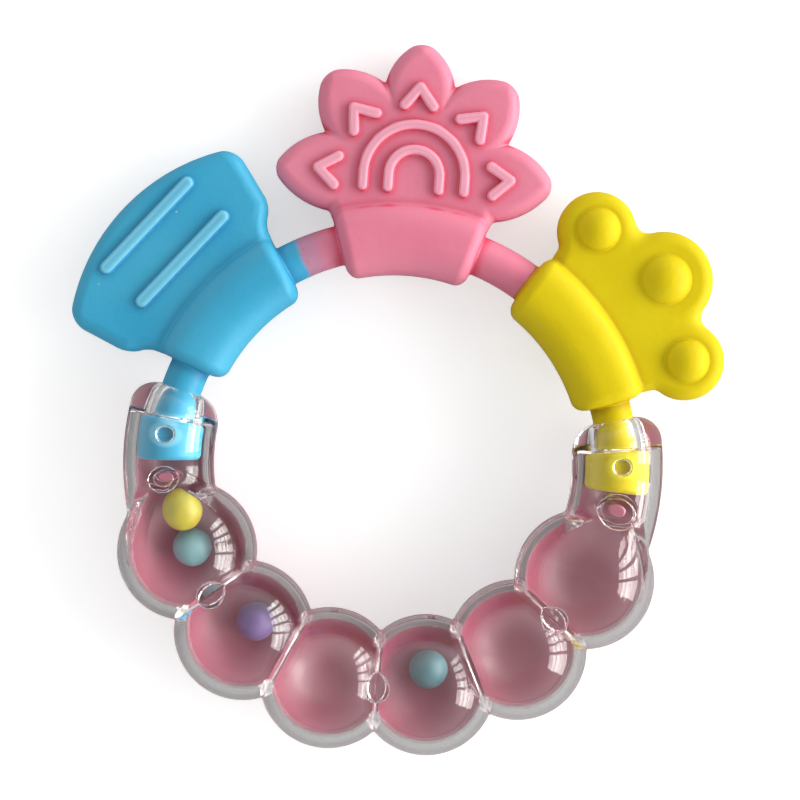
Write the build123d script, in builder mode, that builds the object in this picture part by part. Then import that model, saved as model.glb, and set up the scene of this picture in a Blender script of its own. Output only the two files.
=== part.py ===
from build123d import *
import os
from math import atan2, cos, degrees, hypot, radians, sin, sqrt

# Teething ring. The ring lies in the XY plane, with its centre at the origin.
# +Z looks out of the clear front shell, +Y points at the sun-shaped teether.
# Lengths are in millimetres, angles in degrees counter-clockwise from +X.

# ---------------------------------------------------------------- rattle shells
ring_radius = 38.1          # centre line of the necks, the rod and the sleeves
bubble_ring_radius = 37.9   # the bubble centres lie on this circle
bubble_count = 6
bubble_pitch = 25.2         # angle between two bubble centres
bubble_radius = 11.8
bubble_wall = 1.8
neck_radius = 7.65
neck_wall = 1.8
neck_foot = -20.0           # the right neck starts inside the last bubble
dome_top = 15.2             # ... and ends in a dome round the silicone rod
shoulder_radius = 4.6
chamber_top = 7.9           # the dome is solid above this, and traps the anchor below it
rod_bore = 3.45

tongue_width = 0.8          # the front shell's tongue runs round the seam
tongue_depth = 1.0
seam_gap = 0.05
tongue_top = 7.0

pad_radius = 2.4            # ejector pads on three inner ridges
pad_face = 5.4
pad_root = 8.1

# ---------------------------------------------------------------- shell fixings
anchor_pin = (3.5, 38.2)    # angle and radius of the pins through the anchors
anchor_pin_radius = 1.3
anchor_pin_end = 4.6        # their ends are this far from the parting plane
post_place = (-7.9, 38.2)   # angle and radius of the posts below the anchors
post_reach = 6.7            # pins and posts are rooted this far from the parting plane
socket_top = 5.0            # the front shell's sockets are bored up to here
left_socket = (2.2, 1.5, -1.0)   # outer radius, bore radius, height of the rim
right_socket = (3.0, 2.4, -1.0)
left_post = (1.3, 0.6)           # radius, height of the tip
right_post = (1.25, 3.8)

# ---------------------------------------------------------------- silicone
rod_radius = 3.4
anchor_radius = 5.4
anchor_span = (-3.0, 7.5)   # right anchor; the left one is its mirror image
anchor_edge = 1.0
pin_clearance = 0.15
bore_floor = 4.4            # half the thickness of the web between the two bores
blue_to_pink = 117.0        # colour joints of the moulded strip
pink_to_yellow = 58.2

sleeve_width = 12.2
sleeve_height = 11.0
sleeve_corner = 4.4
sleeve_end_radius = 2.0
blue_axis = 140.6           # where each sleeve is centred, and half its angle
blue_half_angle = 17.7
pink_axis = 90.0
pink_half_angle = 17.7
yellow_axis = 38.4
yellow_half_angle = 19.0

paddle_height = 6.0
paddle_edge = 2.4           # edge rounding of the paddles
rib_height = 0.9
rib_edge = 0.5
fan_arc = ((56.2, -20.4), (62.9, 0.0), (56.2, 20.4))         # along and across the blue axis
fan_side = ((56.2, 20.4), (45.4, 17.4), (43.6, 14.4), (38.0, 12.0))
fan_corner = 3.0
fan_tip = 4.5
blue_rib_radii = (57.6, 49.4)
blue_rib_length = 21.6
blue_rib_width = 2.0
blue_rib_shift = -0.6

sun_centre = (0.0, 47.7)
petal_axes = (-88.0, -42.5, 0.0, 42.5, 88.0)        # turned from +Y
valley_axes = (-110.8, -64.0, -19.7, 19.7, 64.0, 110.8)
valley_radii = (15.5, 17.2, 17.5, 17.5, 17.2, 15.5)
petal_apex = 24.0
petal_tip_radius = 3.2
petal_valley_radius = 0.8
petal_bulge = 1.25
sun_foot = (12.0, 36.0)
arch_centre = (0.0, 48.65)
arch_radii = (8.5, 4.3)
arch_leg = 2.3
arch_width = 1.6
chevron_centre = (0.0, 47.15)
chevron_axes = (-84.0, -42.0, 0.0, 42.0, 84.0)
chevron_radius = 16.25
chevron_arm = (2.4, 3.1)    # sideways and inward reach of an arm
chevron_width = 1.65

lobe_axis = 38.2
lobes = ((50.7, -13.3, 6.65), (55.4, 0.0, 8.3), (50.7, 13.3, 6.65))
cloud_side = ((55.4, 0.0), (50.7, 13.3), (43.8, 14.5), (38.0, 12.0))
lobe_valley_radius = 1.6
dome_shares = (0.55, 0.51, 0.55)   # base radius of a dome over its lobe's radius
dome_rise = 2.2

# ---------------------------------------------------------------- beads
bead_radius = 3.5
chamber_radius = bubble_radius - bubble_wall
bead_reach = chamber_radius - bead_radius - 0.05
hop_inward = 1.3            # rolling beads rest this far inside the chain's line
hop_forward = 1.1           # ... and this far towards the next bubble
yellow_bead_place = (-35.4, -10.65, -2.25)


def at_angle(angle, radius, height=0.0):
    """A point on a circle round the ring's axis."""
    return (radius * cos(radians(angle)), radius * sin(radians(angle)), height)


def ring_plane(angle):
    """The upright plane through the ring's axis: x runs outward, y runs up."""
    outward = Vector(*at_angle(angle, 1.0))
    return Plane(origin=(0, 0, 0), x_dir=outward, z_dir=outward.cross(Vector(0, 0, 1)))


def flat_plane(angle, height):
    """A level plane whose x axis points outward at the angle."""
    return Plane(origin=(0, 0, height), x_dir=at_angle(angle, 1.0), z_dir=(0, 0, 1))


def bubble_angle(index):
    return 270.0 + (index - (bubble_count - 1) / 2) * bubble_pitch


bubble_centres = [at_angle(bubble_angle(i), bubble_ring_radius) for i in range(bubble_count)]


def chain_form(sphere_radius, tube_radius, tube_end, shoulder=0.0):
    """Six bubbles in a chain, with a tube running up the ring from each end."""
    with BuildPart() as form:
        with BuildSketch(ring_plane(neck_foot)):
            with Locations((ring_radius, 0)):
                Circle(tube_radius)
        revolve(axis=Axis.Z, revolution_arc=tube_end - neck_foot)
        if shoulder:
            fillet(form.edges().sort_by(Axis.Y)[-1], radius=shoulder)
        mirror(about=Plane.YZ)
        with Locations(*bubble_centres):
            Sphere(sphere_radius)
    return form.part


def seam_band(sphere_radius, tube_radius, depth):
    """A flat plate just under the parting plane, with the chain's outline."""
    with BuildPart() as band:
        with BuildSketch(ring_plane(neck_foot)):
            with Locations((ring_radius, -depth / 2)):
                Rectangle(2 * tube_radius, depth)
        revolve(axis=Axis.Z, revolution_arc=tongue_top - neck_foot)
        mirror(about=Plane.YZ)
        with BuildSketch(Plane.XY):
            with Locations(*bubble_centres):
                Circle(sphere_radius)
        extrude(amount=-depth)
    return band.part


def rod_bores():
    """The rod's bore through each dome."""
    with BuildPart() as bores:
        with BuildSketch(ring_plane(chamber_top - 1)):
            with Locations((ring_radius, 0)):
                Circle(rod_bore)
        revolve(axis=Axis.Z, revolution_arc=dome_top - chamber_top + 3)
        mirror(about=Plane.YZ)
    return bores.part


outer_form = chain_form(bubble_radius, neck_radius, dome_top, shoulder_radius)
chamber_form = chain_form(chamber_radius, neck_radius - neck_wall, chamber_top)
bore_form = rod_bores()
tongue_outer = seam_band(chamber_radius + tongue_width, neck_radius - neck_wall + tongue_width, tongue_depth)
tongue_inner = seam_band(chamber_radius, neck_radius - neck_wall, tongue_depth)
rebate_form = seam_band(
    chamber_radius + tongue_width + seam_gap,
    neck_radius - neck_wall + tongue_width + seam_gap,
    tongue_depth + seam_gap,
)


def fixing_angles(side):
    """Where the pin and the post stand on the right (0) or the left (1)."""
    return [180 - place[0] if side else place[0] for place in (anchor_pin, post_place)]


# Clear front shell: the half above the parting plane, with its tongue, pins and sockets
with BuildPart() as front_shell:
    add(outer_form)
    add(chamber_form, mode=Mode.SUBTRACT)
    add(bore_form, mode=Mode.SUBTRACT)
    split(bisect_by=Plane.XY, keep=Keep.TOP)
    add(tongue_outer)
    add(tongue_inner, mode=Mode.SUBTRACT)
    # pins that lock the anchors, and the sockets below them for the rear shell's posts
    for side in (0, 1):
        pin_angle, post_angle = fixing_angles(side)
        socket_radius, bore_radius, rim_height = left_socket if side else right_socket
        with BuildSketch(Plane.XY.offset(anchor_pin_end)):
            with Locations(at_angle(pin_angle, anchor_pin[1])[:2]):
                Circle(anchor_pin_radius)
        extrude(amount=post_reach - anchor_pin_end)
        with BuildSketch(Plane.XY.offset(rim_height)):
            with Locations(at_angle(post_angle, post_place[1])[:2]):
                Circle(socket_radius)
        extrude(amount=post_reach - rim_height)
        with BuildSketch(Plane.XY.offset(rim_height)):
            with Locations(at_angle(post_angle, post_place[1])[:2]):
                Circle(bore_radius)
        extrude(amount=socket_top - rim_height, mode=Mode.SUBTRACT)
    # round ejector pads on every second ridge between the bubbles
    with BuildSketch(Plane.XY.offset(pad_face)):
        for index in range(0, bubble_count, 2):
            ridge_angle = bubble_angle(index) + bubble_pitch / 2
            ridge_radius = bubble_ring_radius * cos(radians(bubble_pitch / 2))
            with Locations(at_angle(ridge_angle, ridge_radius)[:2]):
                Circle(pad_radius)
    extrude(amount=pad_root - pad_face)
front_shell.part.label = "front_shell"


# Milky pink rear shell: the half below the parting plane, with its pins and posts
with BuildPart() as rear_shell:
    add(outer_form)
    add(chamber_form, mode=Mode.SUBTRACT)
    add(bore_form, mode=Mode.SUBTRACT)
    split(bisect_by=Plane.XY, keep=Keep.BOTTOM)
    add(rebate_form, mode=Mode.SUBTRACT)
    for side in (0, 1):
        pin_angle, post_angle = fixing_angles(side)
        tip_radius, tip_height = left_post if side else right_post
        with BuildSketch(Plane.XY.offset(-post_reach)):
            with Locations(at_angle(pin_angle, anchor_pin[1])[:2]):
                Circle(anchor_pin_radius)
        extrude(amount=post_reach - anchor_pin_end)
        with BuildSketch(Plane.XY.offset(-post_reach)):
            with Locations(at_angle(post_angle, post_place[1])[:2]):
                Circle(tip_radius)
        extrude(amount=post_reach + tip_height)
rear_shell.part.label = "rear_shell"


def sleeve_and_rod(axis_angle, half_angle, rod_start, rod_end):
    """The thick sleeve across a paddle's foot, on its stretch of the rod."""
    with BuildPart() as strip:
        with BuildSketch(ring_plane(axis_angle - half_angle)):
            with Locations((ring_radius, 0)):
                RectangleRounded(sleeve_width, sleeve_height, sleeve_corner)
        revolve(axis=Axis.Z, revolution_arc=2 * half_angle)
        ends = [f for f in strip.faces().filter_by(GeomType.PLANE) if abs(f.normal_at().Z) < 0.01]
        fillet([e for f in ends for e in f.edges()], radius=sleeve_end_radius)
        with BuildSketch(ring_plane(rod_start)):
            with Locations((ring_radius, 0)):
                Circle(rod_radius)
        revolve(axis=Axis.Z, revolution_arc=rod_end - rod_start)
    return strip.part


def strip_anchor():
    """The thick end of the strip that the right neck traps, bored for two pins."""
    with BuildPart() as anchor:
        with BuildSketch(ring_plane(anchor_span[0])):
            with Locations((ring_radius, 0)):
                Circle(anchor_radius)
        revolve(axis=Axis.Z, revolution_arc=anchor_span[1] - anchor_span[0])
        fillet(anchor.faces().filter_by(GeomType.PLANE).edges(), radius=anchor_edge)
        for side in (-1, 1):
            with BuildSketch(Plane.XY.offset(side * bore_floor)):
                with Locations(at_angle(*anchor_pin)[:2]):
                    Circle(anchor_pin_radius + pin_clearance)
            extrude(amount=side * anchor_radius, mode=Mode.SUBTRACT)
    return anchor.part


anchor_form = strip_anchor()


def outline_vertices(sketch, centre, nearest, farthest=100.0):
    """The corners of a sketch between two distances from a centre."""
    reach = [(hypot(v.X - centre[0], v.Y - centre[1]), v) for v in sketch.vertices()]
    return [v for distance, v in reach if nearest < distance < farthest]


def round_rims(paddle, radius):
    """Round the topmost edges of a part, then the lowest ones."""
    for level in (-1, 0):
        fillet(paddle.edges().group_by(Axis.Z)[level], radius=radius)


# Blue teether: a fan with two ribs, its sleeve, and the rod down to the left neck
with BuildPart() as blue_teether:
    with BuildSketch(flat_plane(blue_axis, -paddle_height / 2)) as fan:
        with BuildLine():
            ThreePointArc(*fan_arc)
            Polyline(*fan_side)
            Line(fan_side[-1], (fan_side[-1][0], -fan_side[-1][1]))
            Polyline(*[(along, -across) for along, across in reversed(fan_side)])
        make_face()
        fillet(outline_vertices(fan, (0, 0), ring_radius + 4, fan_side[1][0] + 5), radius=fan_corner)
        fillet(outline_vertices(fan, (0, 0), fan_side[0][0]), radius=fan_tip)
    extrude(amount=paddle_height)
    round_rims(blue_teether, paddle_edge)
    for side in (-1, 1):
        with BuildSketch(flat_plane(blue_axis, side * paddle_height / 2)):
            with Locations(*[(radius, blue_rib_shift) for radius in blue_rib_radii]):
                SlotOverall(blue_rib_length, blue_rib_width, rotation=90)
        extrude(amount=side * rib_height)
    round_rims(blue_teether, rib_edge)
    add(sleeve_and_rod(blue_axis, blue_half_angle, blue_to_pink, 180 - anchor_span[1] + 0.1))
    mirror(anchor_form, about=Plane.YZ)
blue_teether.part.label = "blue_teether"


def sun_point(angle, radius):
    """A point round the sun's centre, the angle turned from +Y."""
    return (sun_centre[0] - radius * sin(radians(angle)), sun_centre[1] + radius * cos(radians(angle)))


# Pink teether: a sun of five petals, with arches and chevrons raised on both faces
with BuildPart() as pink_teether:
    tips = [sun_point(angle, petal_apex) for angle in petal_axes]
    valleys = [sun_point(angle, radius) for angle, radius in zip(valley_axes, valley_radii)]
    with BuildSketch(Plane.XY.offset(-paddle_height / 2)) as sun:
        with BuildLine():
            for tip, before, after in zip(tips, valleys, valleys[1:]):
                SagittaArc(before, tip, -petal_bulge)
                SagittaArc(tip, after, -petal_bulge)
            Polyline(valleys[-1], (-sun_foot[0], sun_foot[1]), sun_foot, valleys[0])
        make_face()
        fillet(outline_vertices(sun, sun_centre, petal_apex - 1), radius=petal_tip_radius)
        valley_points = outline_vertices(sun, sun_centre, valley_radii[0] - 0.3, petal_apex - 5)
        fillet(valley_points, radius=petal_valley_radius)
    extrude(amount=paddle_height)
    round_rims(pink_teether, paddle_edge)
    for side in (-1, 1):
        with BuildSketch(Plane.XY.offset(side * paddle_height / 2)):
            for radius in arch_radii:
                foot = arch_centre[1] - arch_leg
                with BuildLine():
                    Line((radius, foot), (radius, arch_centre[1]))
                    CenterArc(arch_centre, radius, 0, 180)
                    Line((-radius, arch_centre[1]), (-radius, foot))
                trace(line_width=arch_width)
                with Locations((radius, foot), (-radius, foot)):
                    Circle(arch_width / 2)
            for angle in chevron_axes:
                turn = Pos(*chevron_centre) * Rot(0, 0, angle)
                sideways, inward = chevron_arm
                points = [(-sideways, chevron_radius - inward), (0, chevron_radius)]
                points.append((sideways, chevron_radius - inward))
                placed = [(turn * Pos(*point)).position for point in points]
                with BuildLine():
                    Polyline(*placed)
                trace(line_width=chevron_width)
                with Locations(*placed):
                    Circle(chevron_width / 2)
        extrude(amount=side * rib_height)
    add(sleeve_and_rod(pink_axis, pink_half_angle, pink_to_yellow, blue_to_pink))
pink_teether.part.label = "pink_teether"


# Yellow teether: three lobes with a dome on each face, and the rod to the right neck
with BuildPart() as yellow_teether:
    with BuildSketch(flat_plane(lobe_axis, -paddle_height / 2)) as cloud:
        for along, across, radius in lobes:
            with Locations((along, across)):
                Circle(radius)
        with BuildLine():
            Polyline(*cloud_side)
            Line(cloud_side[-1], (cloud_side[-1][0], -cloud_side[-1][1]))
            Polyline(*[(along, -across) for along, across in reversed(cloud_side)])
        make_face()
        fillet(outline_vertices(cloud, (0, 0), lobes[0][0] + 1.3), radius=lobe_valley_radius)
    extrude(amount=paddle_height)
    round_rims(yellow_teether, paddle_edge)
    for (along, across, radius), share in zip(lobes, dome_shares):
        base = radius * share
        dome_radius = (base ** 2 + dome_rise ** 2) / (2 * dome_rise)
        sink = dome_radius - dome_rise
        for side in (-1, 1):
            level = flat_plane(lobe_axis, side * (paddle_height / 2 - sink))
            with Locations(level.from_local_coords((along, across, 0))):
                Sphere(dome_radius)
    add(sleeve_and_rod(yellow_axis, yellow_half_angle, anchor_span[1] - 0.1, pink_to_yellow))
    add(anchor_form)
yellow_teether.part.label = "yellow_teether"


def hop_rest(index):
    """Where a bead lies in a bubble's bottom, near the ridge to the next bubble."""
    half = bubble_pitch / 2
    radial = bubble_ring_radius * cos(radians(half)) - hop_inward
    forward = bubble_ring_radius * sin(radians(half)) - hop_forward
    drop = sqrt(bead_reach ** 2 - hop_inward ** 2 - hop_forward ** 2)
    turn = bubble_angle(index) + half - degrees(atan2(forward, radial))
    return at_angle(turn, hypot(radial, forward), -drop)


bead_places = {
    "yellow_bead": yellow_bead_place,
    "mint_bead": at_angle(bubble_angle(0), bubble_ring_radius, -bead_reach),
    "purple_bead": hop_rest(1),
    "lower_mint_bead": hop_rest(3),
}
beads = []
for name, place in bead_places.items():
    with BuildPart() as bead:
        with Locations(place):
            Sphere(bead_radius)
    bead.part.label = name
    beads.append(bead)


os.makedirs("parts", exist_ok=True)
for piece in [front_shell, rear_shell, blue_teether, pink_teether, yellow_teether] + beads:
    export_step(piece.part, "parts/" + piece.part.label + ".step")
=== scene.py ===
"""Teething ring: silicone paddles and loose beads round a clear and pink rattle chain.

Lengths in this file are in millimetres and angles in degrees until a mesh is made, where they become metres.
Every piece is a distance field in the frame of the CAD part, meshed by surface nets and drawn onto the field.
"""
import math

import bpy
import numpy as np
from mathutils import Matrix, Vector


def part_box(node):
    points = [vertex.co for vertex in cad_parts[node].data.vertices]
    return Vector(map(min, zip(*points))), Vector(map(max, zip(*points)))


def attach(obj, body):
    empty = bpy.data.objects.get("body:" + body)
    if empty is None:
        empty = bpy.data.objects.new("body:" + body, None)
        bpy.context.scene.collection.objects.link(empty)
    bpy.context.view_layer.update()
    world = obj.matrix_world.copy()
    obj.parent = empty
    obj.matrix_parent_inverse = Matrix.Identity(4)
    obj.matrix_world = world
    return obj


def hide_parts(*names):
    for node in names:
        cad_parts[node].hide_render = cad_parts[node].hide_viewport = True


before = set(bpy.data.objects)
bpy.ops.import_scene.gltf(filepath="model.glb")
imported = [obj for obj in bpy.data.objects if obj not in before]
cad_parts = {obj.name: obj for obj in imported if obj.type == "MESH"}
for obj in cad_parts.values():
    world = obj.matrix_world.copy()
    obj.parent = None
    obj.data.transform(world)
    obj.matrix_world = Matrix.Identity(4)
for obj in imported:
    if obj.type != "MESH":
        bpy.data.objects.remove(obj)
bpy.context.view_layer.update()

MM = 0.001
FINE = 0.25          # pitch of the meshing grid
BEAD_FINE = 0.16     # and of the beads' own
MAX_TRIANGLES = 185000

# ------------------------------------------------------------------ sizes of the part
RING = 38.1
BUBBLE_RING = 37.9
BUBBLES = [270 + (i - 2.5) * 25.2 for i in range(6)]
BUBBLE = 11.8
WALL = 1.8
NECK = 7.65
NECK_FOOT = -20.0
DOME_TOP = 15.2
SHOULDER = 4.6
CHAMBER_TOP = 7.9
BORE = 3.45
TONGUE = 0.8
PAD_RADIUS, PAD_FACE, PAD_ROOT = 2.4, 5.4, 8.1
PIN_ANGLE, PIN_RING, PIN, PIN_END = 3.5, 38.2, 1.3, 4.6
POST_ANGLE = -7.9
LEFT_SOCKET, RIGHT_SOCKET, SOCKET_TOP = (2.2, 1.5, -1.0), (3.0, 2.4, -1.0), 5.0   # radius, bore, rim
LEFT_POST, RIGHT_POST = (1.3, 0.6), (1.25, 3.8)                                # radius, tip
ROD = 3.4
ANCHOR = 5.4
BEAD = 3.5
SLEEVE_WIDE, SLEEVE_HIGH, SLEEVE_POWER = 6.1, 5.5, 2.6                         # half sizes, squareness
PADDLE_HALF = 3.0
MARK_RISE = 0.95                       # how far ribs, arches and chevrons stand out of a paddle
DOME_RISE = 2.2
JOINTS = (117.0, 58.2)                  # ring angles where one colour meets the next
LAP = 0.2                              # each colour runs this far into its neighbour


# ------------------------------------------------------------------ distance fields
def at_angle(angle, radius):
    return radius * math.cos(math.radians(angle)), radius * math.sin(math.radians(angle))


def round_max(a, b, r):
    """Both solids at once, with the edge between them rounded."""
    return np.minimum(np.maximum(a, b), -r) + np.hypot(np.maximum(a + r, 0), np.maximum(b + r, 0))


def round_min(a, b, r):
    """Either solid, with a fillet of radius r where they meet."""
    return np.maximum(np.minimum(a, b), r) - np.hypot(np.maximum(r - a, 0), np.maximum(r - b, 0))


def smooth_min(a, b, k):
    """Either solid, blended over a width of about k."""
    h = np.maximum(k - np.abs(a - b), 0) / k
    return np.minimum(a, b) - h * h * k / 4


def ring_coordinates(x, y, z):
    """Radius from the ring's centre line, outward offset and angle, in degrees."""
    rho = np.hypot(x, y)
    return rho - RING, rho, np.degrees(np.arctan2(y, x))


def angle_from(theta, axis):
    return np.abs((theta - axis + 180) % 360 - 180)


def past_angle(rho, theta, limit):
    """Distance beyond the upright plane at an angle, positive above it."""
    return np.radians(theta - limit) * rho


def along(x, y, angle):
    """Coordinates in a level frame whose first axis points outward at the angle."""
    c, s = math.cos(math.radians(angle)), math.sin(math.radians(angle))
    return x * c + y * s, -x * s + y * c


def segment(u, v, a, b):
    """Distance in the plane to a straight segment."""
    du, dv = b[0] - a[0], b[1] - a[1]
    t = np.clip(((u - a[0]) * du + (v - a[1]) * dv) / (du * du + dv * dv), 0, 1)
    return np.hypot(u - a[0] - t * du, v - a[1] - t * dv)


def half_plane(u, v, a, b):
    """Signed distance to the line from a to b, negative on its left."""
    du, dv = b[0] - a[0], b[1] - a[1]
    return ((u - a[0]) * dv - (v - a[1]) * du) / math.hypot(du, dv)


def bubbles(x, y, z, radius, crease):
    field = None
    for angle in BUBBLES:
        cx, cy = at_angle(angle, BUBBLE_RING)
        ball = np.sqrt((x - cx) ** 2 + (y - cy) ** 2 + z ** 2) - radius
        field = ball if field is None else smooth_min(field, ball, crease)
    return field


def neck(x, y, z, radius, top, corner):
    """One tube for both necks: the part is mirrored about x = 0."""
    off, rho, theta = ring_coordinates(np.abs(x), y, z)
    tube = np.hypot(off, z) - radius
    closed = round_max(tube, past_angle(rho, theta, top), corner)
    return np.maximum(closed, -past_angle(rho, theta, NECK_FOOT))


def chain(x, y, z, radius, tube, top, corner):
    """Bubbles and necks: crisp notches in the outline, a soft run from neck to bubble on the faces."""
    blend = 0.3 + 4.7 * np.clip(np.abs(z) / tube, 0, 1) ** 2
    return smooth_min(bubbles(x, y, z, radius, 0.25), neck(x, y, z, tube, top, corner), blend)


def hollow(x, y, z):
    """All that is cut out of the chain: the chambers and the rod's bores through the solid domes."""
    off, rho, theta = ring_coordinates(np.abs(x), y, z)
    from_line = np.hypot(off, z)
    chamber = chain(x, y, z, BUBBLE - WALL, NECK - WALL, CHAMBER_TOP, 0.5)
    bore = np.maximum(from_line - BORE, -past_angle(rho, theta, CHAMBER_TOP - 1))
    return np.minimum(chamber, bore)


def cylinder(x, y, z, place, radius, low, high, edge=0.15):
    side = np.hypot(x - place[0], y - place[1]) - radius
    return round_max(side, np.maximum(low - z, z - high), edge)


def seam_strip(x, y, z, width, depth):
    """The band just outside the chamber at the parting plane, where the tongue sits."""
    flat = chain(x, y, np.zeros_like(z), BUBBLE - WALL, NECK - WALL, 7.0, 0.5)
    band = np.maximum(flat - width, -flat)
    return np.maximum(band, np.maximum(z - 0.6, -depth - z))


def front_shell(x, y, z):
    wall = round_max(chain(x, y, z, BUBBLE, NECK, DOME_TOP, SHOULDER), -hollow(x, y, z), 0.15)
    half = round_max(wall, 0.02 - z, 0.12)
    solid = np.minimum(half, seam_strip(x, y, z, TONGUE, 1.0))
    for side in (-1, 1):
        pin = at_angle(PIN_ANGLE, PIN_RING)
        post = at_angle(POST_ANGLE, PIN_RING)
        outer, bore, rim = LEFT_SOCKET if side < 0 else RIGHT_SOCKET
        pins = cylinder(x, y, z, (side * pin[0], pin[1]), PIN, PIN_END, 6.7)
        tube = cylinder(x, y, z, (side * post[0], post[1]), outer, rim, 6.7, 0.12)
        solid = round_min(solid, np.minimum(pins, tube), 0.2)
        well = cylinder(x, y, z, (side * post[0], post[1]), bore, rim - 2, SOCKET_TOP)
        solid = round_max(solid, -well, 0.1)
    for index in (0, 2, 4):
        place = at_angle(BUBBLES[index] + 12.6, BUBBLE_RING * math.cos(math.radians(12.6)))
        pad = cylinder(x, y, z, place, PAD_RADIUS, PAD_FACE, PAD_ROOT, 0.1)
        solid = round_min(solid, pad, 0.1)
    return solid


def rear_shell(x, y, z):
    wall = round_max(chain(x, y, z, BUBBLE, NECK, DOME_TOP, SHOULDER), -hollow(x, y, z), 0.15)
    half = round_max(wall, z + 0.02, 0.12)
    solid = np.maximum(half, -seam_strip(x, y, z, TONGUE + 0.05, 1.05))
    for side in (-1, 1):
        pin = at_angle(PIN_ANGLE, PIN_RING)
        post = at_angle(POST_ANGLE, PIN_RING)
        tip, top = LEFT_POST if side < 0 else RIGHT_POST
        solid = round_min(solid, cylinder(x, y, z, (side * pin[0], pin[1]), PIN, -6.7, -PIN_END), 0.25)
        solid = round_min(solid, cylinder(x, y, z, (side * post[0], post[1]), tip, -6.7, top, 0.3), 0.25)
    return solid


def sleeve(x, y, z, axis, half_angle):
    off, rho, theta = ring_coordinates(x, y, z)
    across = (np.abs(off) / SLEEVE_WIDE) ** SLEEVE_POWER + (np.abs(z) / SLEEVE_HIGH) ** SLEEVE_POWER
    section = ((across + 1e-9) ** (1 / SLEEVE_POWER) - 1) * 5.3
    return round_max(section, np.radians(angle_from(theta, axis) - half_angle) * rho, 2.0)


def rod(x, y, z, start, end):
    off, rho, theta = ring_coordinates(x, y, z)
    middle, half = (start + end) / 2, (end - start) / 2
    return np.maximum(np.hypot(off, z) - ROD, np.radians(angle_from(theta, middle) - half) * rho)


def anchor(x, y, z):
    """The right-hand anchor with the blind bores for its two pins."""
    off, rho, theta = ring_coordinates(x, y, z)
    ends = np.radians(angle_from(theta, 2.25) - 5.25) * rho
    plug = round_max(np.hypot(off, z) - ANCHOR, ends, 1.0)
    place = at_angle(PIN_ANGLE, PIN_RING)
    bore = np.maximum(np.hypot(x - place[0], y - place[1]) - PIN - 0.1, PIN_END - 0.2 - np.abs(z))
    return round_max(plug, -bore, 0.15)


def raised(outline, z):
    """A raised mark on both faces of a paddle."""
    return round_max(outline, np.abs(z) - PADDLE_HALF - MARK_RISE, 0.5)


def blue_teether(x, y, z):
    u, v = along(x, y, 140.6)
    w = np.abs(v)
    arc = np.hypot(u - 28.5, v) - 34.4
    outer = -half_plane(u, w, (45.4, 17.4), (56.2, 20.4))
    step = -half_plane(u, w, (43.6, 14.4), (45.4, 17.4))
    foot = -half_plane(u, w, (38.0, 12.0), (43.6, 14.4))
    fan = round_max(round_max(outer, step, 1.3), arc, 2.7)
    fan = round_min(fan, np.maximum(foot, u - 45.5), 0.8)
    fan = np.maximum(fan, 38 - u)
    field = round_max(fan, np.abs(z) - PADDLE_HALF, 2.4)
    for radius in (57.6, 49.4):
        rib = segment(u, v, (radius, -10.4), (radius, 9.2)) - 1.05
        field = round_min(field, raised(rib, z), 0.2)
    field = round_min(field, sleeve(x, y, z, 140.6, 17.7), 0.4)
    strip = np.minimum(rod(x, y, z, JOINTS[0] - LAP, 172.6), anchor(-x, y, z))
    return round_min(field, strip, 0.35)


def sun_outline(x, y):
    cx, cy = 0.0, 47.7
    axes = (-88.0, -42.5, 0.0, 42.5, 88.0)
    valleys = (-110.8, -64.0, -19.7, 19.7, 64.0, 110.8)
    depths = (15.5, 17.2, 17.5, 17.5, 17.2, 15.5)
    field = np.hypot(x - cx, y - cy) - 15.0
    for index, axis in enumerate(axes):
        tip = (cx - 24.0 * math.sin(math.radians(axis)), cy + 24.0 * math.cos(math.radians(axis)))
        sides = []
        for edge, sign in ((index, 1), (index + 1, -1)):
            a = math.radians(valleys[edge])
            foot = (cx - depths[edge] * math.sin(a), cy + depths[edge] * math.cos(a))
            chord = math.hypot(tip[0] - foot[0], tip[1] - foot[1])
            bend = (chord * chord / 4 + 1.25 ** 2) / (2 * 1.25)
            nx, ny = (tip[1] - foot[1]) / chord, -(tip[0] - foot[0]) / chord
            inward = (bend - 1.25) * -sign
            mx, my = (tip[0] + foot[0]) / 2 + nx * inward, (tip[1] + foot[1]) / 2 + ny * inward
            sides.append(np.hypot(x - mx, y - my) - bend)
        field = smooth_min(field, round_max(sides[0], sides[1], 1.8), 0.5)
    foot = np.maximum(np.abs(x) - 12.5, np.maximum(36 - y, y - 47))
    return smooth_min(field, foot, 0.8)


def pink_teether(x, y, z):
    field = round_max(sun_outline(x, y), np.abs(z) - PADDLE_HALF, 2.4)
    marks = None
    for radius in (8.5, 4.3):
        bow = np.where(y > 48.65, np.abs(np.hypot(x, y - 48.65) - radius), 99.0)
        legs = segment(np.abs(x), y, (radius, 46.35), (radius, 48.65))
        line = np.minimum(bow, legs) - 0.86
        marks = line if marks is None else np.minimum(marks, line)
    for angle in (-84.0, -42.0, 0.0, 42.0, 84.0):
        outward, across = along(x, y - 47.15, 90 + angle)
        arm = segment(outward, np.abs(across), (16.25, 0.0), (13.15, 2.4)) - 0.9
        marks = np.minimum(marks, arm)
    field = round_min(field, raised(marks, z), 0.2)
    field = round_min(field, sleeve(x, y, z, 90, 17.7), 0.4)
    return round_min(field, rod(x, y, z, JOINTS[1] - LAP, JOINTS[0] + LAP), 0.35)


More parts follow.
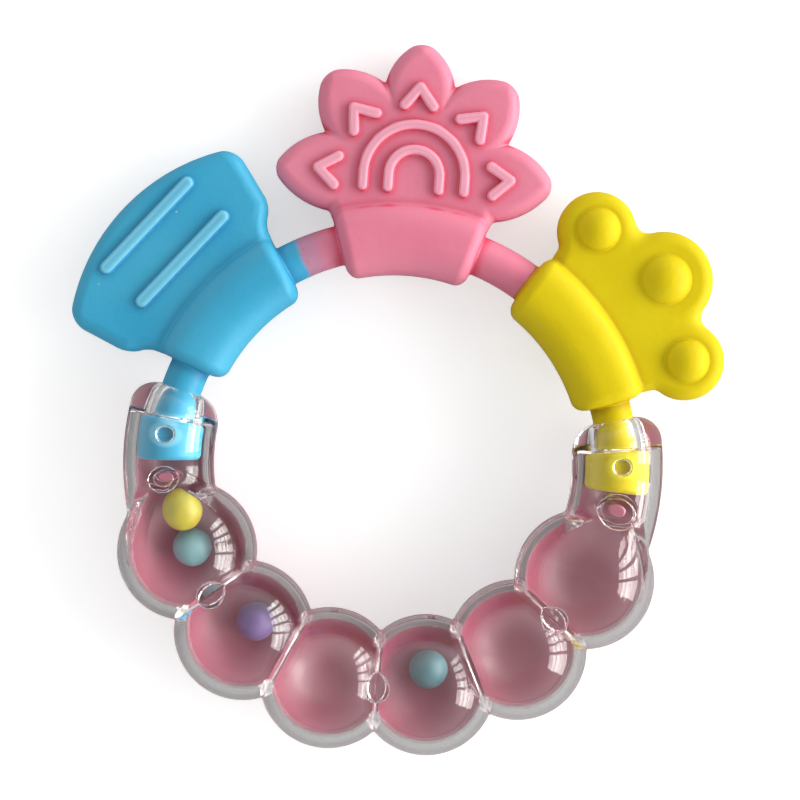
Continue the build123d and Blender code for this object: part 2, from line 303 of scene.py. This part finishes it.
def yellow_teether(x, y, z):
    u, v = along(x, y, 38.2)
    w = np.abs(v)
    big = np.hypot(u - 55.4, v) - 8.3
    small = np.hypot(u - 50.7, w - 13.3) - 6.65
    foot = np.maximum(-half_plane(u, w, (38.0, 12.0), (43.8, 14.5)), u - 50.7)
    middle = np.maximum(-half_plane(u, w, (50.7, 13.3), (55.4, 0.0)), w - 13.3)
    core = np.maximum(np.minimum(foot, np.maximum(middle, 38 - u)), 38 - u)
    cloud = round_min(round_min(big, small, 3.0), core, 0.6)
    field = round_max(cloud, np.abs(z) - PADDLE_HALF, 2.4)
    for (cu, cv, radius), share in (((50.7, 13.3, 6.65), 0.55), ((55.4, 0.0, 8.3), 0.51)):
        base = radius * share
        ball = (base * base + DOME_RISE ** 2) / (2 * DOME_RISE)
        sunk = PADDLE_HALF + DOME_RISE - ball
        dome = np.sqrt((u - cu) ** 2 + (w - cv) ** 2 + (np.abs(z) - sunk) ** 2) - ball
        field = round_min(field, dome, 0.15)
    field = round_min(field, sleeve(x, y, z, 38.4, 19.0), 0.4)
    strip = np.minimum(rod(x, y, z, 7.4, JOINTS[1] + LAP), anchor(x, y, z))
    return round_min(field, strip, 0.35)


def bead(place):
    """A 7 mm bead with slightly uneven sides and the nub of its moulding gate."""
    def field(x, y, z):
        dx, dy, dz = x - place[0], y - place[1], z - place[2]
        wobble = 0.035 * np.sin(1.1 * dx + 0.6) * np.sin(0.9 * dy + dz)
        ball = np.sqrt(dx * dx + dy * dy + dz * dz) - (BEAD - 0.03) + wobble
        nub = np.sqrt((dx + 2.4) ** 2 + (dy + 2.2) ** 2 + (dz + 1.0) ** 2) - 0.25
        return smooth_min(ball, nub, 0.2)
    return field


# ------------------------------------------------------------------ meshing
def gradient(field, points, step=0.02):
    found = np.empty_like(points)
    for axis in range(3):
        ahead, behind = points.copy(), points.copy()
        ahead[:, axis] += step
        behind[:, axis] -= step
        found[:, axis] = (field(*ahead.T) - field(*behind.T)) / (2 * step)
    return found


def draw_onto(field, points, pitch, rounds=4):
    """Move points onto the field's surface, and give its unit normals there."""
    for _ in range(rounds):
        slope = gradient(field, points)
        size = np.maximum((slope ** 2).sum(1), 1e-3)
        step = slope * (field(*points.T) / size)[:, None]
        length = np.maximum(np.linalg.norm(step, axis=1), 1e-9)
        points = points - step * np.minimum(1, 0.5 * pitch / length)[:, None]
    slope = gradient(field, points)
    return points, slope / np.maximum(np.linalg.norm(slope, axis=1), 1e-9)[:, None]


def sample(field, low, high, pitch, block=4):
    """The field on a grid, worked out only in the blocks near its surface."""
    shape = [int(math.ceil((b - a) / pitch / block)) * block for a, b in zip(low, high)]
    coarse = [low[i] + pitch * (np.arange(0, shape[i], block) + (block - 1) / 2) for i in range(3)]
    centres = np.stack(np.meshgrid(*coarse, indexing="ij"), -1)
    near = field(*centres.reshape(-1, 3).T).reshape(centres.shape[:3])
    values = near
    for axis in range(3):
        values = np.repeat(values, block, axis=axis)
    steps = np.stack(np.meshgrid(*[np.arange(block)] * 3, indexing="ij"), -1).reshape(-1, 3)
    blocks = np.argwhere(np.abs(near) < 7 * pitch) * block
    for part in np.array_split(blocks, max(1, len(blocks) // 6000)):
        index = (part[:, None, :] + steps[None]).reshape(-1, 3)
        values[tuple(index.T)] = field(*(np.array(low) + index * pitch).T)
    return values


def surface_net(field, low, high, pitch):
    """Vertices and quads of the field's zero surface."""
    values = sample(field, low, high, pitch)
    inside = values < 0
    corners = [(i, j, k) for i in (0, 1) for j in (0, 1) for k in (0, 1)]
    cells = np.zeros([n - 1 for n in values.shape], np.int8)
    for i, j, k in corners:
        cells += inside[i:values.shape[0] - 1 + i, j:values.shape[1] - 1 + j, k:values.shape[2] - 1 + k]
    active = np.argwhere((cells > 0) & (cells < 8))
    number = -np.ones(cells.shape, np.int64)
    number[tuple(active.T)] = np.arange(len(active))
    at = {c: values[active[:, 0] + c[0], active[:, 1] + c[1], active[:, 2] + c[2]] for c in corners}
    total = np.zeros((len(active), 3))
    count = np.zeros(len(active))
    for a in corners:
        for axis in range(3):
            if a[axis]:
                continue
            b = tuple(1 if n == axis else a[n] for n in range(3))
            cut = (at[a] < 0) != (at[b] < 0)
            share = np.where(cut, at[a] / np.where(cut, at[a] - at[b], 1), 0)
            place = np.tile(np.array(a, float), (len(active), 1))
            place[:, axis] += share
            total += place * cut[:, None]
            count += cut
    points = np.array(low) + (active + total / count[:, None]) * pitch
    quads = []
    for axis in range(3):
        one, two = (axis + 1) % 3, (axis + 2) % 3
        ahead = [slice(None)] * 3
        behind = [slice(None)] * 3
        ahead[axis], behind[axis] = slice(1, None), slice(0, -1)
        edge = np.argwhere(inside[tuple(behind)] != inside[tuple(ahead)])
        edge = edge[(edge[:, one] > 0) & (edge[:, two] > 0)]
        edge = edge[(edge < np.array(cells.shape)).all(1)]
        ring = []
        for a, b in ((0, 0), (1, 0), (1, 1), (0, 1)):
            cell = edge.copy()
            cell[:, one] -= a
            cell[:, two] -= b
            ring.append(number[tuple(cell.T)])
        ring = np.stack(ring, 1)
        leaving = inside[tuple(edge.T)]
        ring[~leaving] = ring[~leaving][:, ::-1]
        quads.append(ring)
    return points, np.concatenate(quads)


def fill_mesh(mesh, points, faces):
    mesh.clear_geometry()
    mesh.vertices.add(len(points))
    mesh.vertices.foreach_set("co", (points * MM).astype(np.float32).ravel())
    size = faces.shape[1]
    mesh.loops.add(faces.size)
    mesh.loops.foreach_set("vertex_index", faces.astype(np.int32).ravel())
    mesh.polygons.add(len(faces))
    mesh.polygons.foreach_set("loop_start", (np.arange(len(faces)) * size).astype(np.int32))
    mesh.update(calc_edges=True)
    mesh.validate()


def build(name, field, low, high, material, pitch=FINE):
    """Mesh a field and make it one object, thinned to the triangle limit."""
    points, quads = surface_net(field, low, high, pitch)
    points, normals = draw_onto(field, points, pitch)
    mesh = bpy.data.meshes.new(name)
    fill_mesh(mesh, points, quads)
    piece = bpy.data.objects.new(name, mesh)
    bpy.context.scene.collection.objects.link(piece)
    triangles = 2 * len(quads)
    if triangles > MAX_TRIANGLES:
        thin = piece.modifiers.new("thin", "DECIMATE")
        thin.ratio = MAX_TRIANGLES / triangles
        thin.use_collapse_triangulate = True
        with bpy.context.temp_override(object=piece, active_object=piece):
            bpy.ops.object.modifier_apply(modifier="thin")
        mesh = piece.data
        points = np.zeros(len(mesh.vertices) * 3, np.float32)
        mesh.vertices.foreach_get("co", points)
        points, normals = draw_onto(field, points.reshape(-1, 3).astype(float) / MM, pitch, 2)
        mesh.vertices.foreach_set("co", (points * MM).astype(np.float32).ravel())
    # how creased, hollow and edgy the surface is near each point; the silicone paints shade and highlight
    # from these
    for key, reach, side in (("crease", 0.9, 1), ("hollow", 2.6, 1), ("edge", 1.0, -1)):
        shape = 1 - side * field(*(points + normals * reach * side).T) / reach
        layer = mesh.attributes.new(key, "FLOAT", "POINT")
        layer.data.foreach_set("value", np.clip(shape, 0, 1).astype(np.float32))
    mesh.polygons.foreach_set("use_smooth", np.ones(len(mesh.polygons), bool))
    mesh.normals_split_custom_set_from_vertices(normals.astype(np.float32))
    mesh.materials.append(material)
    mesh.update()
    return piece


# ------------------------------------------------------------------ materials
def linear(r, g, b):
    """A display colour from 0 to 255 as a linear one."""
    def one(c):
        c = c / 255
        return c / 12.92 if c <= 0.04045 else ((c + 0.055) / 1.055) ** 2.4
    return (one(r), one(g), one(b), 1)


class Nodes:
    """A little help to build a material's node tree."""

    def __init__(self, name):
        self.material = bpy.data.materials.new(name)
        self.material.use_nodes = True
        self.tree = self.material.node_tree
        self.tree.nodes.clear()
        self.out = self.add("ShaderNodeOutputMaterial")
        self.place = self.add("ShaderNodeTexCoord").outputs["Object"]

    def add(self, kind, **settings):
        node = self.tree.nodes.new(kind)
        for key, value in settings.items():
            setattr(node, key, value)
        return node

    def link(self, source, target):
        self.tree.links.new(source, target)

    def math(self, operation, a, b=None):
        node = self.add("ShaderNodeMath", operation=operation)
        for slot, value in enumerate((a, b)):
            if value is None:
                continue
            if isinstance(value, (int, float)):
                node.inputs[slot].default_value = value
            else:
                self.link(value, node.inputs[slot])
        return node.outputs[0]

    def noise(self, scale, detail=2.0, roughness=0.5):
        node = self.add("ShaderNodeTexNoise")
        node.inputs["Scale"].default_value = scale
        node.inputs["Detail"].default_value = detail
        node.inputs["Roughness"].default_value = roughness
        self.link(self.place, node.inputs["Vector"])
        return node.outputs["Fac"]

    def range(self, value, low, high, to_low=0.0, to_high=1.0, smooth=False):
        node = self.add("ShaderNodeMapRange")
        if smooth:
            node.interpolation_type = "SMOOTHSTEP"
        self.link(value, node.inputs["Value"])
        for key, number in (("From Min", low), ("From Max", high), ("To Min", to_low), ("To Max", to_high)):
            node.inputs[key].default_value = number
        return node.outputs["Result"]

    def mix(self, fac, a, b, blend="MIX"):
        node = self.add("ShaderNodeMix", data_type="RGBA", blend_type=blend)
        for key, value in ((0, fac), (6, a), (7, b)):
            if isinstance(value, bpy.types.NodeSocket):
                self.link(value, node.inputs[key])
            else:
                node.inputs[key].default_value = value
        return node.outputs[2]

    def bump(self, height, strength, distance):
        node = self.add("ShaderNodeBump")
        node.inputs["Strength"].default_value = strength
        node.inputs["Distance"].default_value = distance
        self.link(height, node.inputs["Height"])
        return node.outputs["Normal"]

    def shape(self, name, low, high, most=1.0):
        """How hollow or edgy the surface is here, from the values kept with the mesh."""
        node = self.add("ShaderNodeAttribute", attribute_name=name)
        return self.range(node.outputs["Fac"], low, high, 0.0, most, smooth=True)

    def dots(self, scale, size, kept):
        """Sparse round dots: cells of a Voronoi pattern, of which only a share is kept."""
        node = self.add("ShaderNodeTexVoronoi")
        node.inputs["Scale"].default_value = scale
        self.link(self.place, node.inputs["Vector"])
        pick = self.add("ShaderNodeSeparateColor")
        self.link(node.outputs["Color"], pick.inputs[0])
        chosen = self.math("LESS_THAN", pick.outputs[0], kept)
        close = self.range(node.outputs["Distance"], size * 0.6, size, 1.0, 0.0)
        return self.math("MULTIPLY", chosen, close)

    def surface(self, colour, roughness, **constants):
        shader = self.add("ShaderNodeBsdfPrincipled")
        for key, value in constants.items():
            shader.inputs[key.replace("_", " ")].default_value = value
        for key, value in (("Base Color", colour), ("Roughness", roughness)):
            if isinstance(value, bpy.types.NodeSocket):
                self.link(value, shader.inputs[key])
            else:
                shader.inputs[key].default_value = value
        self.link(shader.outputs[0], self.out.inputs[0])
        return shader


def strip_angle(nodes):
    """The ring angle of a point, with its x and y."""
    split = nodes.add("ShaderNodeSeparateXYZ")
    nodes.link(nodes.place, split.inputs[0])
    x, y = split.outputs[0], split.outputs[1]
    return nodes.math("DEGREES", nodes.math("ARCTAN2", y, x)), x, y


def off_joints(nodes):
    """1 everywhere but in a narrow band at the two joints of the strip."""
    angle = strip_angle(nodes)[0]
    clear_of = [nodes.math("GREATER_THAN", nodes.math("ABSOLUTE", nodes.math("SUBTRACT", angle, joint)), 1.6)
                for joint in JOINTS]
    return nodes.math("MULTIPLY", *clear_of)


def strip_tint(nodes, start, end):
    """0 to 1 along the bare rod from one ring angle to another, with a wavy front; 0 off the rod."""
    angle, x, y = strip_angle(nodes)
    angle = nodes.math("ADD", angle, nodes.range(nodes.noise(170.0), 0, 1, -1.0, 1.0))
    radius = nodes.math("SQRT", nodes.math("ADD", nodes.math("MULTIPLY", x, x), nodes.math("MULTIPLY", y, y)))
    off = nodes.math("ABSOLUTE", nodes.math("SUBTRACT", radius, RING * MM))
    on_rod = nodes.math("LESS_THAN", off, 0.0037)
    upper = nodes.math("GREATER_THAN", y, 0.02)
    share = nodes.range(angle, start, end, smooth=True)
    return nodes.math("MULTIPLY", share, nodes.math("MULTIPLY", on_rod, upper))


# specks in the silicone: pattern scale, dot size, share of cells kept, strength and colour
DUST = (
    (260.0, 0.08, 0.05, 0.8, (0.02, 0.03, 0.03, 1)),
    (330.0, 0.06, 0.025, 0.5, (0.9, 0.9, 0.88, 1)),
)


def mark_tops_to_highlight(nodes, split):
    """1 on top of the ribs, arches and chevrons, which stand out of the paddles beyond the sleeves; the
    silicone paints a highlight there.
    """
    x, y, z = split.outputs
    radius = nodes.math("SQRT", nodes.math("ADD", nodes.math("MULTIPLY", x, x), nodes.math("MULTIPLY", y, y)))
    top = nodes.range(nodes.math("ABSOLUTE", z), 0.0033, 0.0038, smooth=True)
    return nodes.math("MULTIPLY", top, nodes.math("GREATER_THAN", radius, 0.0448))


def silicone(name, base, light, deep, shade, stops=(), gloss=0.45, hollow=0.4, crease=0.3, marks=0.0):
    """Soft satin silicone: mottled, with dust and pinholes, with a painted highlight on thin edges and on
    mark tops and painted shade in its creases and hollows.
    """
    # light is the colour of the painted highlight and shade that of the painted shade; hollow, crease and
    # marks set how strong they are
    n = Nodes(name)
    colour = n.mix(n.range(n.noise(55.0, 3.0), 0.3, 0.7), deep, base)
    # painted highlight: thin, convex edges are lightened towards the light colour, kept off the joints
    thin = n.math("MULTIPLY", n.shape("edge", 0.02, 0.6, 0.75), off_joints(n))
    colour = n.mix(thin, colour, light)
    split = n.add("ShaderNodeSeparateXYZ")
    n.link(n.place, split.inputs[0])
    # painted highlight on the tops of the raised marks
    colour = n.mix(n.math("MULTIPLY", mark_tops_to_highlight(n, split), marks), colour, light)
    # painted shade: hollows and creases are darkened towards the shade colour, only where y is above 9 mm,
    # which leaves the anchors out
    paddle = n.math("GREATER_THAN", split.outputs[1], 0.009)
    for key, low, high, most in (("hollow", 0.05, 0.7, hollow), ("crease", 0.2, 0.95, crease)):
        colour = n.mix(n.math("MULTIPLY", n.shape(key, low, high, most), paddle), colour, shade)
    for start, end, tint in stops:
        colour = n.mix(strip_tint(n, start, end), colour, tint)
    for scale, size, kept, strength, speck in DUST:
        colour = n.mix(n.math("MULTIPLY", n.dots(scale, size, kept), strength), colour, speck)
    rough = n.range(n.noise(120.0, 4.0), 0.3, 0.7, 0.40, 0.52)
    shader = n.surface(
        colour, rough, Subsurface_Weight=0.2, Subsurface_Scale=0.0012, Specular_IOR_Level=gloss, IOR=1.43)
    shader.inputs["Subsurface Radius"].default_value = (1.0, 0.7, 0.6)
    grain = n.math("ADD", n.noise(900.0, 3.0), n.math("MULTIPLY", n.noise(150.0, 2.0), 1.6))
    n.link(n.bump(grain, 0.12, 0.0004), shader.inputs["Normal"])
    return n.material


def satin_bead(name, base, light):
    n = Nodes(name)
    colour = n.mix(n.range(n.noise(170.0, 3.0), 0.35, 0.7), base, light)
    rough = n.range(n.noise(400.0, 2.0), 0.3, 0.7, 0.3, 0.42)
    shader = n.surface(colour, rough, Subsurface_Weight=0.15, Subsurface_Scale=0.001)
    n.link(n.bump(n.noise(700.0, 3.0), 0.08, 0.0003), shader.inputs["Normal"])
    return n.material


def milky_pink(name):
    n = Nodes(name)
    colour = n.mix(n.range(n.noise(60.0, 3.0), 0.3, 0.7), linear(167, 71, 97), linear(175, 79, 105))
    rough = n.range(n.noise(200.0, 3.0), 0.3, 0.7, 0.43, 0.51)
    shader = n.surface(colour, rough, Subsurface_Weight=0.15, Subsurface_Scale=0.001, IOR=1.8,
                       Specular_IOR_Level=0.9, Coat_Weight=0.3, Coat_Roughness=0.1)
    n.link(n.bump(n.noise(300.0, 2.0), 0.05, 0.0003), shader.inputs["Normal"])
    return n.material


def clear(name):
    """Clear moulded plastic; light passes straight through it where it would cast a shadow."""
    n = Nodes(name)
    haze = n.range(n.noise(140.0, 4.0, 0.6), 0.5, 0.85, 0.0, 0.02)
    shader = n.surface((0.985, 0.985, 0.985, 1), haze, Transmission_Weight=1.0, IOR=1.49)
    n.link(n.bump(n.noise(70.0, 1.0), 0.03, 0.0005), shader.inputs["Normal"])
    veil = n.add("ShaderNodeBsdfTransparent")
    veil.inputs[0].default_value = (0.93, 0.93, 0.93, 1)
    ray = n.add("ShaderNodeLightPath")
    both = n.add("ShaderNodeMixShader")
    n.link(ray.outputs["Is Shadow Ray"], both.inputs[0])
    n.link(shader.outputs[0], both.inputs[1])
    n.link(veil.outputs[0], both.inputs[2])
    n.link(both.outputs[0], n.out.inputs[0])
    return n.material


MAUVE, ORANGE = linear(196, 136, 164), linear(214, 110, 60)
BLUE, PINK = linear(69, 175, 211), linear(235, 141, 165)
TO_PINK = [(118.8, 116.9, MAUVE), (115.5, 110.0, PINK)]        # ring angles where a tint starts and is full
TO_BLUE = [(110.0, 115.5, MAUVE), (116.9, 118.8, BLUE)]
TO_ORANGE = [(57.2, 58.6, ORANGE)]
# arguments: base, painted highlight colour, deeper mottle, painted shade colour, joint tints, gloss, painted
# shade in hollows and in creases, painted highlight on mark tops
blue = silicone("blue_silicone", BLUE, linear(138, 210, 233), linear(53, 165, 206), linear(8, 92, 158),
                TO_PINK, 0.45, 0.45, 0.22, 0.4)
pink = silicone("pink_silicone", PINK, linear(246, 184, 202), linear(229, 126, 152), linear(218, 26, 70),
                TO_BLUE, 0.45, 0.7, 0.46, 0.4)
yellow = silicone("yellow_silicone", linear(227, 207, 24), linear(240, 226, 60), linear(220, 197, 16),
                  linear(158, 96, 0), TO_ORANGE, 0.15, 0.5, 0.35)

# ------------------------------------------------------------------ pieces
# field, corners of the box it is meshed in, material and slot
clear_plastic, pink_plastic = clear("clear_plastic"), milky_pink("pink_plastic")
parts = {
    "front_shell": (front_shell, (-52.5, -51.5, -3.2), (52.5, 12.8, 12.4), clear_plastic, "clear_plastic"),
    "rear_shell": (rear_shell, (-52.5, -51.5, -12.4), (52.5, 12.8, 5.2), pink_plastic, "pink_plastic"),
    "blue_teether": (blue_teether, (-65, -4, -6.2), (-14, 62, 6.2), blue, "blue_silicone"),
    "pink_teether": (pink_teether, (-27, 26, -6.2), (27, 74, 6.2), pink, "pink_silicone"),
    "yellow_teether": (yellow_teether, (17, -4, -6.2), (59, 53, 6.2), yellow, "yellow_silicone"),
}
for name, (field, low, high, material, slot) in parts.items():
    piece = build(name + "_visual", field, low, high, material)
    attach(piece, "ring")
    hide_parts(name)

# base colour, its lighter mottling, and slot
bead_looks = {
    "yellow_bead": (linear(184, 170, 14), linear(196, 184, 30), "yellow_plastic"),
    "mint_bead": (linear(120, 168, 174), linear(136, 180, 184), "mint_plastic"),
    "purple_bead": (linear(118, 93, 148), linear(130, 105, 160), "purple_plastic"),
    # the lower mint bead: a darker copy of the mint colour, painted shade
    "lower_mint_bead": (linear(92, 130, 138), linear(106, 144, 150), "mint_plastic"),
}
for name, (base, light, slot) in bead_looks.items():
    low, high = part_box(name)
    middle = [(a + b) / 2 / MM for a, b in zip(low, high)]
    reach = BEAD + 0.7
    piece = build(name + "_visual", bead(middle), [c - reach for c in middle], [c + reach for c in middle],
                  satin_bead(name, base, light), BEAD_FINE)
    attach(piece, name)
    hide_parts(name)

# ------------------------------------------------------------------ floor, light and camera
TILT = math.radians(5.3)      # the ring lies on its first and last bubble and on the sun's tip


def card(name, centre, across, up, material):
    """A flat rectangle given by its centre and two half sides."""
    c, a, u = (np.array(v, float) for v in (centre, across, up))
    mesh = bpy.data.meshes.new(name)
    fill_mesh(mesh, np.array([c - a - u, c + a - u, c + a + u, c - a + u]), np.array([[0, 1, 2, 3]]))
    mesh.materials.append(material)
    piece = bpy.data.objects.new(name, mesh)
    bpy.context.scene.collection.objects.link(piece)
    return piece


def glow(name, colour, strength):
    n = Nodes(name)
    shader = n.add("ShaderNodeEmission")
    shader.inputs[0].default_value = colour
    shader.inputs[1].default_value = strength
    n.link(shader.outputs[0], n.out.inputs[0])
    return n.material


def table_top(name, seen, felt, lift):
    """A plain pale table: slightly lifted where the camera sees it, greyer in what it throws back."""
    n = Nodes(name)
    ray = n.add("ShaderNodeLightPath").outputs["Is Camera Ray"]
    shader = n.surface(n.mix(ray, (felt, felt, felt, 1), (seen, seen, seen, 1)), 0.9)
    shader.inputs["Emission Color"].default_value = (1, 1, 1, 1)
    n.link(n.math("MULTIPLY", ray, lift), shader.inputs["Emission Strength"])
    return n.material


REST_Y = -17.2                # where the first and last bubbles touch the table
slope = (0, math.cos(TILT), math.sin(TILT))
upward = (0, -math.sin(TILT), math.cos(TILT))
under = np.array([0, REST_Y, 0]) - np.array(upward) * (BUBBLE + 0.05)
card("floor", under + np.array(slope) * 20, (3000, 0, 0), tuple(3000 * c for c in slope),
     table_top("floor", 0.78, 0.5, 0.5))

# a paned window at the right: panes by azimuth and elevation, seen from the ring
window = glow("window", (1, 0.985, 0.96, 1), 10.0)
distance = 1000
panes = []
for low_az, high_az in ((-26, -2), (2, 12), (16, 25), (29, 37), (41, 47)):
    panes += [(low_az, high_az, 4, 16), (low_az, high_az, 19, 32)]
for number, (az0, az1, el0, el1) in enumerate(panes):
    y0, y1 = (distance * math.tan(math.radians(a)) for a in (az0, az1))
    z0, z1 = (distance * math.tan(math.radians(e)) for e in (el0, el1))
    card("pane_%d" % number, (distance, (y0 + y1) / 2, (z0 + z1) / 2),
         (0, (y1 - y0) / 2, 0), (0, 0, (z1 - z0) / 2), window)

world = bpy.data.worlds.new("studio")
bpy.context.scene.world = world
world.use_nodes = True
tree = world.node_tree
way = tree.nodes.new("ShaderNodeTexCoord")
split = tree.nodes.new("ShaderNodeSeparateXYZ")
tree.links.new(way.outputs["Generated"], split.inputs[0])
levels = []
for axis, low, high, to_low, to_high in (
        (0, -1.0, 1.0, 0.85, 1.74), (1, -1.0, 0.2, 0.77, 1.04), (2, 0.35, 0.85, 1.0, 0.29)):
    level = tree.nodes.new("ShaderNodeMapRange")
    tree.links.new(split.outputs[axis], level.inputs["Value"])
    for key, number in (("From Min", low), ("From Max", high), ("To Min", to_low), ("To Max", to_high)):
        level.inputs[key].default_value = number
    levels.append(level.outputs["Result"])
strength = levels[0]
for level in levels[1:]:
    product = tree.nodes.new("ShaderNodeMath")
    product.operation = "MULTIPLY"
    tree.links.new(strength, product.inputs[0])
    tree.links.new(level, product.inputs[1])
    strength = product.outputs[0]
tree.links.new(strength, tree.nodes["Background"].inputs[1])
tree.nodes["Background"].inputs[0].default_value = (1, 1, 1, 1)

camera_data = bpy.data.cameras.new("camera")
camera_data.lens = 71.5
camera = bpy.data.objects.new("camera", camera_data)
bpy.context.scene.collection.objects.link(camera)
camera.location = (0.0004, 0.01085, 0.270)
camera.rotation_euler = (0, 0, math.radians(4.15))
bpy.context.scene.camera = camera
bpy.context.scene.view_settings.view_transform = "Standard"
cycles = bpy.context.scene.cycles
cycles.max_bounces = 32
cycles.glossy_bounces = 24      # inner reflections in the clear shell count as glossy
cycles.transmission_bounces = 32
cycles.transparent_max_bounces = 12
